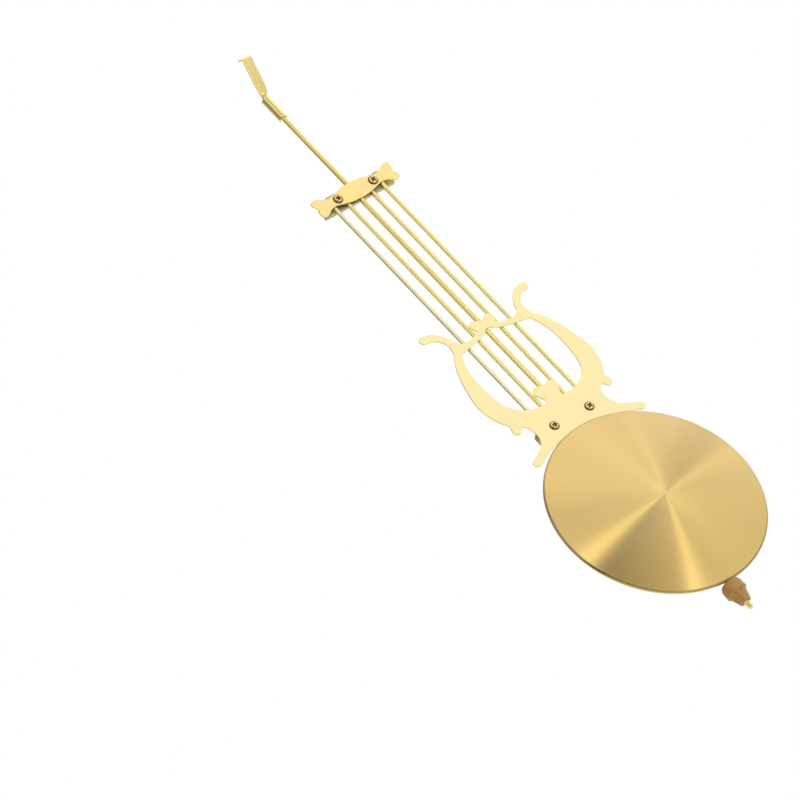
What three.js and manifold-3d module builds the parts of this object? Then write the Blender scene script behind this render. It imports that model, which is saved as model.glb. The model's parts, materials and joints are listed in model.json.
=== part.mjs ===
// Lyre pendulum of a clock, in millimetres, hanging as it does in use: +Z is up and the front faces -Y.
// The origin is the inner corner of the hook, where the swing arm of the clock carries the pendulum.
// Five rods are clamped between two front plates and two rear bars, and the middle one runs on down
// through the bob, which rests on a rating nut on the threaded end of that rod.
import * as THREE from 'three';
import { mergeVertices } from 'three/addons/utils/BufferGeometryUtils.js';
import Module from 'manifold-3d';

const wasm = await Module();
wasm.setup();

// Overall lengths, measured down from the inner corner of the hook
const topScrewDrop = 62.5;
const lyreScrewDrop = 180.5;
const bobDiameter = 80;
const tipReach = 3;

// Clearances
const seatClearance = 0.05;
const slideClearance = 0.1;
const holeClearance = 0.2;
const cutOverrun = 1;
const mergeDistance = 0.005;

// Rods
const rodPitch = 5.5;
const centreRodDiameter = 2;
const sideRodDiameter = 1.7;
const sideRodRise = 1.5;
const sideRodFootDrop = 6.7;

// Front plates, stamped from one sheet
const plateThickness = 0.5;
const topPlateHalfLength = 18.4;
const topPlateHalfHeight = 4.1;
const lyreHalfWidth = 26.6;
const lyreRise = 55;
const lyreFootDrop = 5.2;
const lyreFootArcRadius = 52;
const lyreEndDiameter = 3.3;
const bobOverlap = 0.2;

// Rear bars
const barHalfLength = 16;
const barHeight = 7.2;
const barThickness = 1.6;
const barStandoff = 0.3;
const barCornerCut = 2.8;

// Screws
const screwHeadDiameter = 3.7;
const screwHeadHeight = 0.9;
const screwShankDiameter = 2;
const screwTipReach = 0.5;
const recessLength = 2.3;
const recessWidth = 0.55;
const recessDepth = 0.5;

// Hanger
const hangerThickness = 0.5;
const stripWidth = 4;
const stripNeckWidth = 3;
const stripNeckRise = 4;
const stripBlendLength = 1.5;
const stripLength = 15.3;
const stripLean = THREE.MathUtils.degToRad(29);
const lipLength = 2.6;
const lipBendRadius = 0.7;
const stripBendRadius = 3;
const barrelLength = 10.2;
const barrelOpening = THREE.MathUtils.degToRad(50);
const rodHeadGap = 0.6;

// Bob
const bobRise = 5.5;
const bobSheet = 0.4;
const rimRadius = 0.5;
const hemWidth = 1.4;
const hemThickness = 0.3;
const backDiscThickness = 0.4;

// Guide lugs on the back of the bob, and their rivets
const lugThickness = 0.8;
const lugWidth = 6;
const lugWall = 1.7;
const lugFootWidth = 12;
const lugFootHeight = 7;
const lugBendRadius = 0.3;
const lugCornerRadius = 1;
const upperLugInset = 14;
const lowerLugInset = 7;
const rivetSpacing = 8;
const rivetHeadDiameter = 2.4;
const rivetHeadHeight = 0.55;
const rivetShankDiameter = 1.2;
const rivetTailHeight = 0.4;

// Rating nut
const nutFlangeDiameter = 8.3;
const nutTopDiameter = 5.8;
const nutShoulderHeight = 2.6;
const nutFlangeHeight = 4.7;
const nutStepHeight = 0.3;
const nutConeTopDiameter = 6.9;
const nutConeFootDiameter = 4.7;
const nutLength = 9.2;
const nutEdgeRadius = 0.35;

// Fineness of curves
const rodSides = 20;
const holeSides = 20;
const barrelSides = 21;
const bobSides = 72;
const nutSides = 32;
const capSteps = 9;
const arcSteps = 4;
const splineSteps = 4;

// Places derived from the sizes above
const centreRodRadius = centreRodDiameter / 2;
const sideRodRadius = sideRodDiameter / 2;
const bobRadius = bobDiameter / 2;
const upperLugRise = bobRadius - upperLugInset;
const lowerLugDrop = bobRadius - lowerLugInset;
const barrelInnerRadius = centreRodRadius + slideClearance;
const barrelOuterRadius = barrelInnerRadius + hangerThickness;
const stripFoot = new THREE.Vector2(Math.sin(stripLean), -Math.cos(stripLean)).multiplyScalar(stripLength);
const rodAxisY = stripFoot.x + barrelInnerRadius;
const barrelTopZ = stripFoot.y;
const bobCentreZ = -lyreScrewDrop - lyreFootDrop - bobRadius + bobOverlap;
const nutTopZ = bobCentreZ - bobRadius - seatClearance;
const rodTipZ = nutTopZ - nutLength - tipReach;
const plateBackY = -centreRodRadius - seatClearance;
const plateFrontY = plateBackY - plateThickness;
const barBackY = barStandoff + barThickness;
const bobBackY = plateFrontY - slideClearance;
const discBackY = bobBackY - hemThickness - seatClearance;
const discFrontY = discBackY - backDiscThickness;
const rimFrontY = discFrontY - seatClearance - bobSheet;

// The screws pass midway between the inner and the outer rods, which lie at one and two pitches.
const screwX = (rodPitch + 2 * rodPitch) / 2;

function material(hex, roughness, metalness) {
  return new THREE.MeshStandardMaterial({ color: hex, roughness, metalness });
}

function named(name, geometry, look) {
  const mesh = new THREE.Mesh(geometry, look);
  mesh.name = name;
  return mesh;
}

// Merges the shared vertices of a geometry and keeps nothing but positions.
function welded(geometry) {
  const bare = geometry.clone();
  bare.deleteAttribute('normal');
  bare.deleteAttribute('uv');
  return mergeVertices(bare);
}

function toSolid(geometry) {
  const bare = welded(geometry);
  return new wasm.Manifold(new wasm.Mesh({
    numProp: 3,
    vertProperties: new Float32Array(bare.attributes.position.array),
    triVerts: new Uint32Array(bare.index.array),
  }));
}

function toGeometry(solid) {
  const mesh = solid.getMesh();
  const geometry = new THREE.BufferGeometry();
  geometry.setAttribute('position', new THREE.BufferAttribute(new Float32Array(mesh.vertProperties), mesh.numProp));
  geometry.setIndex(new THREE.BufferAttribute(new Uint32Array(mesh.triVerts), 1));
  geometry.computeVertexNormals();
  return geometry;
}

function join(geometries) {
  return toGeometry(geometries.map(toSolid).reduce((whole, next) => whole.add(next)));
}

function cut(geometry, tools) {
  return toGeometry(tools.map(toSolid).reduce((whole, tool) => whole.subtract(tool), toSolid(geometry)));
}

// Points of an arc about a centre, from one angle to another.
function arc(centreX, centreY, radius, from, to, steps) {
  return Array.from({ length: steps + 1 }, (_, i) => {
    const angle = from + (to - from) * i / steps;
    return new THREE.Vector2(centreX + radius * Math.cos(angle), centreY + radius * Math.sin(angle));
  });
}

function smooth(points) {
  return new THREE.SplineCurve(points).getPoints(splineSteps * (points.length - 1));
}

// Joins stretches of an outline, leaving out a point that repeats the one before it.
function chain(stretches) {
  return stretches.flat().filter((point, i, all) => i === 0 || point.distanceTo(all[i - 1]) > mergeDistance);
}

// A full outline from its right half, which starts and ends on the middle line.
function mirrored(half) {
  const left = half.slice(1, -1).reverse().map((point) => new THREE.Vector2(-point.x, point.y));
  return [...half, ...left];
}

function circle(x, y, radius, sides) {
  return arc(x, y, radius, 0, 2 * Math.PI, sides).slice(1);
}

function circleHole(x, y, radius) {
  return new THREE.Path(circle(x, y, radius, holeSides));
}

function extruded(shape, depth) {
  return new THREE.ExtrudeGeometry(shape, { depth, bevelEnabled: false });
}

// A plate that stands upright, with its back face at y = 0 and its front face towards -Y.
function uprightPlate(shape, thickness) {
  return extruded(shape, thickness).rotateX(Math.PI / 2);
}

// A profile in the YZ plane, drawn as (y, z), extruded along X and centred on x = 0.
function acrossX(shape, width) {
  return extruded(shape, width).translate(0, 0, -width / 2).applyMatrix4(
    new THREE.Matrix4().makeBasis(
      new THREE.Vector3(0, 1, 0),
      new THREE.Vector3(0, 0, 1),
      new THREE.Vector3(1, 0, 0),
    ),
  );
}

// The outline of a bent strip of even thickness along its middle line.
function ribbon(middle, thickness) {
  const side = (sign) => middle.map((point, i) => {
    const before = middle[Math.max(i - 1, 0)];
    const after = middle[Math.min(i + 1, middle.length - 1)];
    const along = after.clone().sub(before).normalize();
    return new THREE.Vector2(point.x - sign * along.y * thickness / 2, point.y + sign * along.x * thickness / 2);
  });
  return new THREE.Shape([...side(1), ...side(-1).reverse()]);
}

function uprightRod(radius, fromZ, toZ) {
  return new THREE.CylinderGeometry(radius, radius, toZ - fromZ, rodSides)
    .rotateX(Math.PI / 2)
    .translate(0, 0, (fromZ + toZ) / 2);
}

function screwHoles(shape, radius) {
  shape.holes.push(circleHole(-screwX, 0, radius), circleHole(screwX, 0, radius));
}

// Top plate: a belly between two waists, and a pair of round lobes at each end.
const topPlateShares = [
  [0, 0.915], [0.25, 0.83], [0.45, 0.61], [0.585, 0.49], [0.72, 0.6],
  [0.82, 0.87], [0.9, 0.99], [0.975, 0.86], [0.995, 0.52], [0.965, 0.2], [0.925, 0],
];

function topPlate() {
  const quarter = smooth(topPlateShares.map(([xShare, zShare]) => (
    new THREE.Vector2(xShare * topPlateHalfLength, zShare * topPlateHalfHeight))));
  const lower = quarter.slice(0, -1).reverse().map((point) => new THREE.Vector2(point.x, -point.y));
  const shape = new THREE.Shape(mirrored([...quarter, ...lower]));
  screwHoles(shape, screwShankDiameter / 2 + holeClearance);
  return uprightPlate(shape, plateThickness).translate(0, plateBackY, 0);
}

// Lyre plate, drawn from the line of its screws. Shares of its half width, and of its rise.
const lyreShares = {
  footTipShare: 0.919,
  neck: [
    [0.83, -0.118], [0.7, -0.084], [0.635, -0.04], [0.613, 0.014], [0.633, 0.064], [0.685, 0.094], [0.738, 0.089],
  ],
  nub: [[0.738, 0.089], [0.762, 0.068], [0.803, 0.062], [0.848, 0.072], [0.866, 0.095], [0.852, 0.12], [0.832, 0.144]],
  body: [
    [0.832, 0.144], [0.887, 0.182], [0.95, 0.242], [0.993, 0.33], [0.995, 0.4],
    [0.965, 0.47], [0.914, 0.568], [0.815, 0.688], [0.684, 0.788],
  ],
  hornUnder: [[0.684, 0.788], [0.66, 0.826], [0.672, 0.872], [0.727, 0.913], [0.81, 0.936]],
  hornTip: [0.89, 0.97],
  hornTop: [
    [0.775, 0.99], [0.684, 0.966], [0.617, 0.928], [0.565, 0.882], [0.528, 0.842],
    [0.474, 0.82], [0.398, 0.814], [0.28, 0.821], [0.17, 0.834],
  ],
  crest: [[0.17, 0.834], [0.168, 0.852], [0.199, 0.88], [0.186, 0.912], [0.13, 0.926], [0.06, 0.912], [0, 0.9]],
  arch: [[0, 0.834], [0.045, 0.827], [0.07, 0.813], [0.1, 0.807]],
  crossbar: [[0.1, 0.807], [0.2, 0.79], [0.353, 0.774], [0.485, 0.762], [0.607, 0.752]],
  bowl: [
    [0.607, 0.752], [0.665, 0.69], [0.718, 0.59], [0.728, 0.498], [0.718, 0.398],
    [0.677, 0.3], [0.57, 0.223], [0.419, 0.181], [0.244, 0.164], [0.139, 0.167],
  ],
  bud: [[0.139, 0.167], [0.137, 0.191], [0.173, 0.223], [0.195, 0.258], [0.167, 0.29], [0.108, 0.302], [0, 0.284]],
};

function lyrePoint([xShare, zShare]) {
  return new THREE.Vector2(xShare * lyreHalfWidth, zShare * lyreRise);
}

function lyreStretch(shares) {
  return smooth(shares.map(lyrePoint));
}

// The foot follows an arc round the bob and ends in a half circle.
function lyreFoot() {
  const endRadius = lyreEndDiameter / 2;
  const centreZ = -lyreFootDrop - lyreFootArcRadius;
  const tipX = lyreShares.footTipShare * lyreHalfWidth;
  const tipAngle = Math.acos(tipX / (lyreFootArcRadius + endRadius));
  const tipZ = centreZ + (lyreFootArcRadius + endRadius) * Math.sin(tipAngle);
  const underside = arc(0, centreZ, lyreFootArcRadius, Math.PI / 2, tipAngle, 2 * arcSteps);
  const end = arc(tipX, tipZ, endRadius, tipAngle - Math.PI, tipAngle, 2 * arcSteps);
  return [underside, end];
}

// The tip of a horn is a half circle that faces away from the middle line.
function lyreHornTip() {
  const centre = lyrePoint(lyreShares.hornTip);
  return arc(centre.x, centre.y, lyreEndDiameter / 2, -Math.PI / 2, Math.PI / 2, 2 * arcSteps);
}

function lyrePlate() {
  const [underside, footEnd] = lyreFoot();
  const hornTip = lyreHornTip();
  const outer = chain([
    underside,
    footEnd,
    smooth([footEnd.at(-1), ...lyreShares.neck.map(lyrePoint)]),
    lyreStretch(lyreShares.nub),
    lyreStretch(lyreShares.body),
    smooth([...lyreShares.hornUnder.map(lyrePoint), hornTip[0]]),
    hornTip,
    smooth([hornTip.at(-1), ...lyreShares.hornTop.map(lyrePoint)]),
    lyreStretch(lyreShares.crest),
  ]);
  const opening = chain([
    lyreStretch(lyreShares.arch),
    lyreStretch(lyreShares.crossbar),
    lyreStretch(lyreShares.bowl),
    lyreStretch(lyreShares.bud),
  ]);
  const shape = new THREE.Shape(mirrored(outer));
  shape.holes.push(new THREE.Path(mirrored(opening)));
  screwHoles(shape, screwShankDiameter / 2 + holeClearance);
  return uprightPlate(shape, plateThickness).translate(0, plateBackY, 0);
}

// Rear bar: its upper corners are cut off, and each rod lies in a groove across its front face.
function rearBar() {
  const halfHeight = barHeight / 2;
  const shape = new THREE.Shape(mirrored([
    new THREE.Vector2(0, -halfHeight),
    new THREE.Vector2(barHalfLength, -halfHeight),
    new THREE.Vector2(barHalfLength, halfHeight - barCornerCut),
    new THREE.Vector2(barHalfLength - barCornerCut, halfHeight),
    new THREE.Vector2(0, halfHeight),
  ]));
  screwHoles(shape, screwShankDiameter / 2 + slideClearance);
  const bar = uprightPlate(shape, barThickness).translate(0, barBackY, 0);
  const reach = halfHeight + cutOverrun;
  const grooves = [-2, -1, 0, 1, 2].map((place) => {
    const radius = (place === 0 ? centreRodRadius : sideRodRadius) + seatClearance;
    return uprightRod(radius, -reach, reach).translate(place * rodPitch, 0, 0);
  });
  return cut(bar, grooves);
}

// Screw: a domed head in front of the plate, a cross recess, and a shank through plate and bar.
function screw(turn) {
  const headRadius = screwHeadDiameter / 2;
  const shankRadius = screwShankDiameter / 2;
  const headBackY = plateFrontY - seatClearance;
  const domeRadius = (headRadius ** 2 + screwHeadHeight ** 2) / (2 * screwHeadHeight);
  const domeCentreY = headBackY - screwHeadHeight + domeRadius;
  const edgeAngle = Math.asin(headRadius / domeRadius);
  const tipY = barBackY + screwTipReach;
  const tipTaper = screwTipReach / 2;
  const profile = [
    ...arc(0, domeCentreY, domeRadius, -Math.PI / 2, edgeAngle - Math.PI / 2, arcSteps),
    new THREE.Vector2(shankRadius, headBackY),
    new THREE.Vector2(shankRadius, tipY - tipTaper),
    new THREE.Vector2(shankRadius - tipTaper, tipY),
    new THREE.Vector2(0, tipY),
  ];
  profile[0].x = 0;
  const body = new THREE.LatheGeometry(profile, rodSides);
  const depth = recessDepth + cutOverrun;
  const slotY = headBackY - screwHeadHeight + recessDepth - depth / 2;
  const slots = [turn, turn + Math.PI / 2].map((angle) => (
    new THREE.BoxGeometry(recessLength, depth, recessWidth).rotateY(angle).translate(0, slotY, 0)));
  return cut(body, slots);
}

// The strip of the hanger seen from the front: it narrows to a neck, then runs out on the barrel.
function stripOutline() {
  const topZ = stripLength + cutOverrun;
  return uprightPlate(new THREE.Shape(mirrored([
    new THREE.Vector2(0, topZ),
    new THREE.Vector2(stripWidth / 2 + cutOverrun, topZ),
    new THREE.Vector2(stripWidth / 2 + cutOverrun, barrelTopZ + stripNeckRise),
    new THREE.Vector2(stripWidth / 2, barrelTopZ + stripNeckRise),
    new THREE.Vector2(stripNeckWidth / 2, barrelTopZ),
    new THREE.Vector2(0, barrelTopZ - stripBlendLength),
  ])), 2 * stripLength).translate(0, stripLength, 0);
}

// Hanger: a barrel curled round the rod, a strip that leans forward, and a lip bent back over the arm.
function hanger() {
  const half = hangerThickness / 2;
  const along = new THREE.Vector2(Math.sin(stripLean), -Math.cos(stripLean));
  const back = new THREE.Vector2(Math.cos(stripLean), Math.sin(stripLean));
  const place = (downStrip, behind) => (
    along.clone().multiplyScalar(downStrip).addScaledVector(back, behind));
  const lipEnd = place(-half, lipLength);
  const bendMiddle = place(lipBendRadius - half, lipBendRadius - half);
  const lipBend = arc(
    bendMiddle.x,
    bendMiddle.y,
    lipBendRadius,
    stripLean + Math.PI / 2,
    stripLean + Math.PI,
    arcSteps,
  );
  const wallY = rodAxisY - barrelInnerRadius - half;
  const kneeZ = barrelTopZ + stripBendRadius * Math.tan(stripLean / 2);
  const kneeBend = arc(
    wallY - stripBendRadius,
    kneeZ - stripBendRadius * Math.tan(stripLean / 2),
    stripBendRadius,
    stripLean,
    0,
    arcSteps,
  );
  const strip = acrossX(ribbon([
    lipEnd,
    ...lipBend,
    ...kneeBend,
    new THREE.Vector2(wallY, barrelTopZ - stripBlendLength - cutOverrun),
  ], hangerThickness), stripWidth);
  const openFrom = Math.PI / 2 + barrelOpening / 2;
  const openTo = 2.5 * Math.PI - barrelOpening / 2;
  const ring = new THREE.Shape([
    ...arc(0, rodAxisY, barrelOuterRadius, openFrom, openTo, barrelSides),
    ...arc(0, rodAxisY, barrelInnerRadius, openTo, openFrom, barrelSides),
  ]);
  const barrel = extruded(ring, barrelLength).translate(0, 0, barrelTopZ - barrelLength);
  return toGeometry(toSolid(strip).intersect(toSolid(stripOutline())).add(toSolid(barrel)));
}

// Front shell of the bob: a shallow dome whose rim is folded back round the edge of the back disc.
function bobShell() {
  const capChord = bobRadius - rimRadius;
  const capRadius = (capChord ** 2 + bobRise ** 2) / (2 * bobRise);
  const capCentreY = rimFrontY - bobRise + capRadius;
  const capAngle = Math.asin(capChord / capRadius);
  const insideRadius = bobRadius - bobSheet;
  const insideCapRadius = capRadius - bobSheet;
  const insideAngle = Math.asin((insideRadius - rimRadius) / insideCapRadius);
  const outside = arc(0, capCentreY, capRadius, -Math.PI / 2, capAngle - Math.PI / 2, capSteps);
  const shoulder = arc(capChord, rimFrontY + rimRadius, rimRadius, -Math.PI / 2, 0, arcSteps);
  const inside = arc(0, capCentreY, insideCapRadius, insideAngle - Math.PI / 2, -Math.PI / 2, capSteps);
  outside[0].x = 0;
  inside.at(-1).x = 0;
  return new THREE.LatheGeometry(chain([
    outside,
    shoulder,
    [
      new THREE.Vector2(bobRadius, bobBackY - hemThickness / 2),
      new THREE.Vector2(bobRadius - hemThickness / 2, bobBackY),
      new THREE.Vector2(bobRadius - hemWidth, bobBackY),
      new THREE.Vector2(bobRadius - hemWidth, bobBackY - hemThickness),
      new THREE.Vector2(insideRadius, bobBackY - hemThickness),
      new THREE.Vector2(insideRadius, discFrontY - seatClearance),
    ],
    inside,
  ]), bobSides);
}

function rivetPlaces() {
  return [-1, 1].map((side) => ({ side, x: side * rivetSpacing / 2 }));
}

// Height of the row of rivets in the middle of a lug's foot, measured from the lug.
const rivetRise = lugFootHeight / 2;

function backDisc() {
  const shape = new THREE.Shape(circle(0, 0, bobRadius - bobSheet - slideClearance, bobSides));
  [upperLugRise - rivetRise, rivetRise - lowerLugDrop].forEach((z) => {
    rivetPlaces().forEach(({ x }) => shape.holes.push(circleHole(x, z, rivetShankDiameter / 2 + slideClearance)));
  });
  return uprightPlate(shape, backDiscThickness).translate(0, discBackY, 0);
}

function roundedRectangle(width, height, radius) {
  const x = width / 2 - radius;
  const y = height / 2 - radius;
  return new THREE.Shape(chain([
    arc(x, y, radius, 0, Math.PI / 2, arcSteps),
    arc(-x, y, radius, Math.PI / 2, Math.PI, arcSteps),
    arc(-x, -y, radius, Math.PI, 1.5 * Math.PI, arcSteps),
    arc(x, -y, radius, 1.5 * Math.PI, 2 * Math.PI, arcSteps),
  ]));
}

// Guide lug: a foot riveted to the back disc, and a lug bent out from its upper edge round the rod.
function guideLug() {
  const half = lugThickness / 2;
  const footY = discBackY + seatClearance + half;
  const bend = lugBendRadius + half;
  const endY = centreRodRadius + lugWall;
  const bent = acrossX(ribbon([
    new THREE.Vector2(footY, -lugFootHeight + lugCornerRadius),
    ...arc(footY + bend, -half - bend, bend, Math.PI, Math.PI / 2, arcSteps),
    new THREE.Vector2(endY, -half),
  ], lugThickness), lugWidth);
  const foot = uprightPlate(
    roundedRectangle(lugFootWidth, lugFootHeight - lugThickness, lugCornerRadius),
    lugThickness,
  ).translate(0, footY + half, -(lugFootHeight + lugThickness) / 2);
  const reach = lugThickness + cutOverrun;
  const rodHole = new THREE.CylinderGeometry(
    centreRodRadius + slideClearance,
    centreRodRadius + slideClearance,
    lugThickness + reach,
    rodSides,
  ).rotateX(Math.PI / 2);
  const rivetHoles = rivetPlaces().map(({ x }) => (
    new THREE.CylinderGeometry(
      rivetShankDiameter / 2 + slideClearance,
      rivetShankDiameter / 2 + slideClearance,
      lugThickness + reach,
      holeSides,
    ).translate(x, footY, -rivetRise)));
  return cut(join([bent, foot]), [rodHole, ...rivetHoles]);
}

// Rivet: a round head behind the foot of a lug, and a flat tail inside the bob.
function rivet() {
  const headRadius = rivetHeadDiameter / 2;
  const shankRadius = rivetShankDiameter / 2;
  const headFrontY = discBackY + 2 * seatClearance + lugThickness;
  const domeRadius = (headRadius ** 2 + rivetHeadHeight ** 2) / (2 * rivetHeadHeight);
  const domeCentreY = headFrontY + rivetHeadHeight - domeRadius;
  const edgeAngle = Math.asin(headRadius / domeRadius);
  const tailBackY = discFrontY - seatClearance;
  const profile = [
    new THREE.Vector2(0, tailBackY - rivetTailHeight),
    new THREE.Vector2(headRadius, tailBackY - rivetTailHeight),
    new THREE.Vector2(headRadius, tailBackY),
    new THREE.Vector2(shankRadius, tailBackY),
    new THREE.Vector2(shankRadius, headFrontY),
    ...arc(0, domeCentreY, domeRadius, Math.PI / 2 - edgeAngle, Math.PI / 2, arcSteps),
  ];
  profile.at(-1).x = 0;
  return new THREE.LatheGeometry(profile, rodSides);
}

// Rating nut: a round flange with a soft shoulder, over a cone that is gripped to turn it.
function ratingNut() {
  const bore = centreRodRadius + slideClearance;
  const flange = nutFlangeDiameter / 2;
  const top = nutTopDiameter / 2;
  const foot = nutConeFootDiameter / 2;
  const shoulder = Array.from({ length: arcSteps + 1 }, (_, i) => {
    const angle = Math.PI / 2 * i / arcSteps;
    return new THREE.Vector2(
      top + (flange - top) * Math.sin(angle),
      nutShoulderHeight * (Math.cos(angle) - 1),
    );
  }).reverse();
  const profile = chain([
    [
      new THREE.Vector2(bore, 0),
      new THREE.Vector2(bore, -nutLength),
      new THREE.Vector2(foot - nutEdgeRadius, -nutLength),
      new THREE.Vector2(foot, nutEdgeRadius - nutLength),
      new THREE.Vector2(nutConeTopDiameter / 2, -nutFlangeHeight - nutStepHeight),
      new THREE.Vector2(flange - nutEdgeRadius, -nutFlangeHeight),
      new THREE.Vector2(flange, nutEdgeRadius - nutFlangeHeight),
    ],
    shoulder,
    [new THREE.Vector2(bore, 0)],
  ]);
  return new THREE.LatheGeometry(profile, nutSides).rotateX(Math.PI / 2);
}

const paleBrass = material('#f6e3a4', 0.3, 0.9);
const brass = material('#d9b65c', 0.3, 1);
const spunBrass = material('#d6b272', 0.35, 1);
const zincSteel = material('#b3a37a', 0.45, 0.9);
const bronze = material('#5c3a16', 0.35, 0.9);
const tanPlastic = material('#ae8650', 0.5, 0);

const pendulum = new THREE.Group();

// Everything but the hanger hangs from the axis of the middle rod.
const onRodAxis = new THREE.Group();
onRodAxis.position.y = rodAxisY;
pendulum.add(onRodAxis);

pendulum.add(named('hanger_hook', hanger(), brass));

onRodAxis.add(named('centre_rod', uprightRod(centreRodRadius, rodTipZ, barrelTopZ - rodHeadGap), brass));
[['outer_left', -2], ['inner_left', -1], ['inner_right', 1], ['outer_right', 2]].forEach(([side, place]) => {
  const geometry = uprightRod(sideRodRadius, -lyreScrewDrop - sideRodFootDrop, sideRodRise - topScrewDrop);
  const rod = named(`${side}_rod`, geometry, brass);
  rod.position.x = place * rodPitch;
  onRodAxis.add(rod);
});

const recessTurns = { top_left: 0.35, top_right: -0.5, lyre_left: 0.15, lyre_right: 0.8 };

// One clamp of front plate, rear bar and two screws, about the line of its screws.
function clamp(name, drop, plate) {
  const group = new THREE.Group();
  group.position.z = -drop;
  group.add(named(`${name}_plate`, plate, paleBrass));
  group.add(named(`${name}_rear_bar`, rearBar(), zincSteel));
  [['left', -screwX], ['right', screwX]].forEach(([side, x]) => {
    const piece = named(`${name}_screw_${side}`, screw(recessTurns[`${name}_${side}`]), bronze);
    piece.position.x = x;
    group.add(piece);
  });
  return group;
}

onRodAxis.add(clamp('top', topScrewDrop, topPlate()));
onRodAxis.add(clamp('lyre', lyreScrewDrop, lyrePlate()));

const bob = new THREE.Group();
bob.position.z = bobCentreZ;
bob.add(named('bob_front_shell', bobShell(), spunBrass));
bob.add(named('bob_back_disc', backDisc(), zincSteel));
[['upper', upperLugRise], ['lower', lugFootHeight - lowerLugDrop]].forEach(([level, z]) => {
  const group = new THREE.Group();
  group.position.z = z;
  group.add(named(`guide_lug_${level}`, guideLug(), zincSteel));
  rivetPlaces().forEach(({ side, x }) => {
    const piece = named(`lug_rivet_${level}_${side < 0 ? 'left' : 'right'}`, rivet(), brass);
    piece.position.set(x, 0, -rivetRise);
    group.add(piece);
  });
  bob.add(group);
});
onRodAxis.add(bob);

const nut = named('rating_nut', ratingNut(), tanPlastic);
nut.position.z = nutTopZ;
onRodAxis.add(nut);

export default pendulum;
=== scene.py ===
import json
import math

import bmesh
import bpy
from mathutils import Matrix, Vector


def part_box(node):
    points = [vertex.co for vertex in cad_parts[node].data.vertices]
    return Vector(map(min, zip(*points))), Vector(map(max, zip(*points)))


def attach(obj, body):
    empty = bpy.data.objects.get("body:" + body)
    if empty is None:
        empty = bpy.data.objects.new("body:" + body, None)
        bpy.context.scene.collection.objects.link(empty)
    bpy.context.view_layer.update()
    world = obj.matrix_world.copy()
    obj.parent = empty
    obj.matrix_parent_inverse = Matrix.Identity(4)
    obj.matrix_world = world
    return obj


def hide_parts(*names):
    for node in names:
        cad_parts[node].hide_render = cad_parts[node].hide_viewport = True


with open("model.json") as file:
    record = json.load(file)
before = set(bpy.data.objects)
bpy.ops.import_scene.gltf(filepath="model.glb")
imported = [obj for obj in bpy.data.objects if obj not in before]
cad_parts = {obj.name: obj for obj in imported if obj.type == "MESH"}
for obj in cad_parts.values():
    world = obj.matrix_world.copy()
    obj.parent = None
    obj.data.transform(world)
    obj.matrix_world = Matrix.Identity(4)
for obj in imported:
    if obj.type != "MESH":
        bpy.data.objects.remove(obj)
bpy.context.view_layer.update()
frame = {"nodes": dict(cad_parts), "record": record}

# The lyre pendulum hangs from its hook, +Z up, front towards -Y. Lengths are in metres.
MM = 0.001
TINY = 1e-7

# Hanger
strip_lean = math.radians(29)
strip_width = 4 * MM
neck_rise = 4 * MM
neck_curl_rise = 2.6 * MM
lip_length = 2.6 * MM
lip_bend_radius = 0.7 * MM
knee_radius = 3 * MM
sheet = 0.5 * MM
barrel_inner_radius = 1.1 * MM
barrel_length = 10.2 * MM
barrel_seam_half_angle = math.radians(25)
barrel_free_edge_rise = 0.45 * MM
barrel_free_edge_power = 1.5
neck_half_angle = math.radians(62)
hanger_edge = 0.07 * MM
lip_steps = 4
lip_bend_steps = 12
strip_steps = 16
knee_steps = 12
barrel_steps = 14
neck_columns = 8
side_columns = 12

# Rods and thread
rod_end_chamfer = 0.25 * MM
side_rod_sides = 40
centre_rod_sides = 48
thread_pitch = 0.4 * MM
thread_depth = 0.2 * MM
thread_length = 17 * MM
thread_steps_per_turn = 10

# Plates and bars
plate_edge = 0.07 * MM
plate_edge_resolution = 2
bar_edge = 0.16 * MM
lug_edge = 0.1 * MM
corner_angle = math.radians(28)
curve_pieces = 3

# Edges: the angles from which an edge is shaded as sharp, or rounded, and the pieces of its rounding
smooth_angle = math.radians(35)
plate_smooth_angle = math.radians(40)
nut_smooth_angle = math.radians(50)
coplanar_angle = math.radians(1)
cad_edge_angle = math.radians(32)
steep_edge_angle = math.radians(50)
edge_segments = 3
flat_face_area = 1 * MM * MM

# Screws
screw_head_radius = 1.85 * MM
screw_head_height = 0.9 * MM
screw_dome_radius = (screw_head_radius**2 + screw_head_height**2) / (2 * screw_head_height)
screw_shank_radius = 1 * MM
screw_rim = 0.12 * MM
screw_crown_radius = 1.42 * MM
screw_sides = 48
screw_rim_steps = 8
dome_steps = 12
recess_length = 2.9 * MM
recess_width = 0.85 * MM
recess_depth = 0.5 * MM
recess_foot_share = 0.55
recess_edge = 0.05 * MM
recess_edge_segments = 2
screw_turns = {
    # by how many radians each cross is turned
    "top_screw_left": 0.35, "top_screw_right": -0.5, "lyre_screw_left": 0.15, "lyre_screw_right": 0.8,
}

# Bob
bob_rise = 5.5 * MM
bob_sheet = 0.4 * MM
rim_radius = 0.9 * MM
hem_width = 1.4 * MM
hem_thickness = 0.3 * MM
bob_sides = 256
bob_outside_steps = 64
bob_inside_steps = 24
rim_steps = 8
hem_fold_steps = 6
hem_lip_steps = 8

# Rivets
rivet_head_height = 0.55 * MM
rivet_tail_height = 0.4 * MM
rivet_shank_radius = 0.6 * MM
rivet_sides = 40

# Rating nut
nut_top_radius = 2.9 * MM
nut_shoulder_height = 2.6 * MM
nut_flange_height = 4.7 * MM
nut_step_height = 0.3 * MM
nut_cone_top_radius = 3.45 * MM
nut_cone_foot_radius = 2.35 * MM
nut_edge_radius = 0.35 * MM
nut_bore_radius = 1.1 * MM
nut_bore_edge = nut_edge_radius / 2
nut_flutes = 20
nut_flute_depth = 0.07 * MM
nut_flute_top = nut_shoulder_height / 3
nut_sides = 160
nut_shoulder_steps = 16
nut_cone_steps = 24
nut_edge_steps = 6

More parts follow.
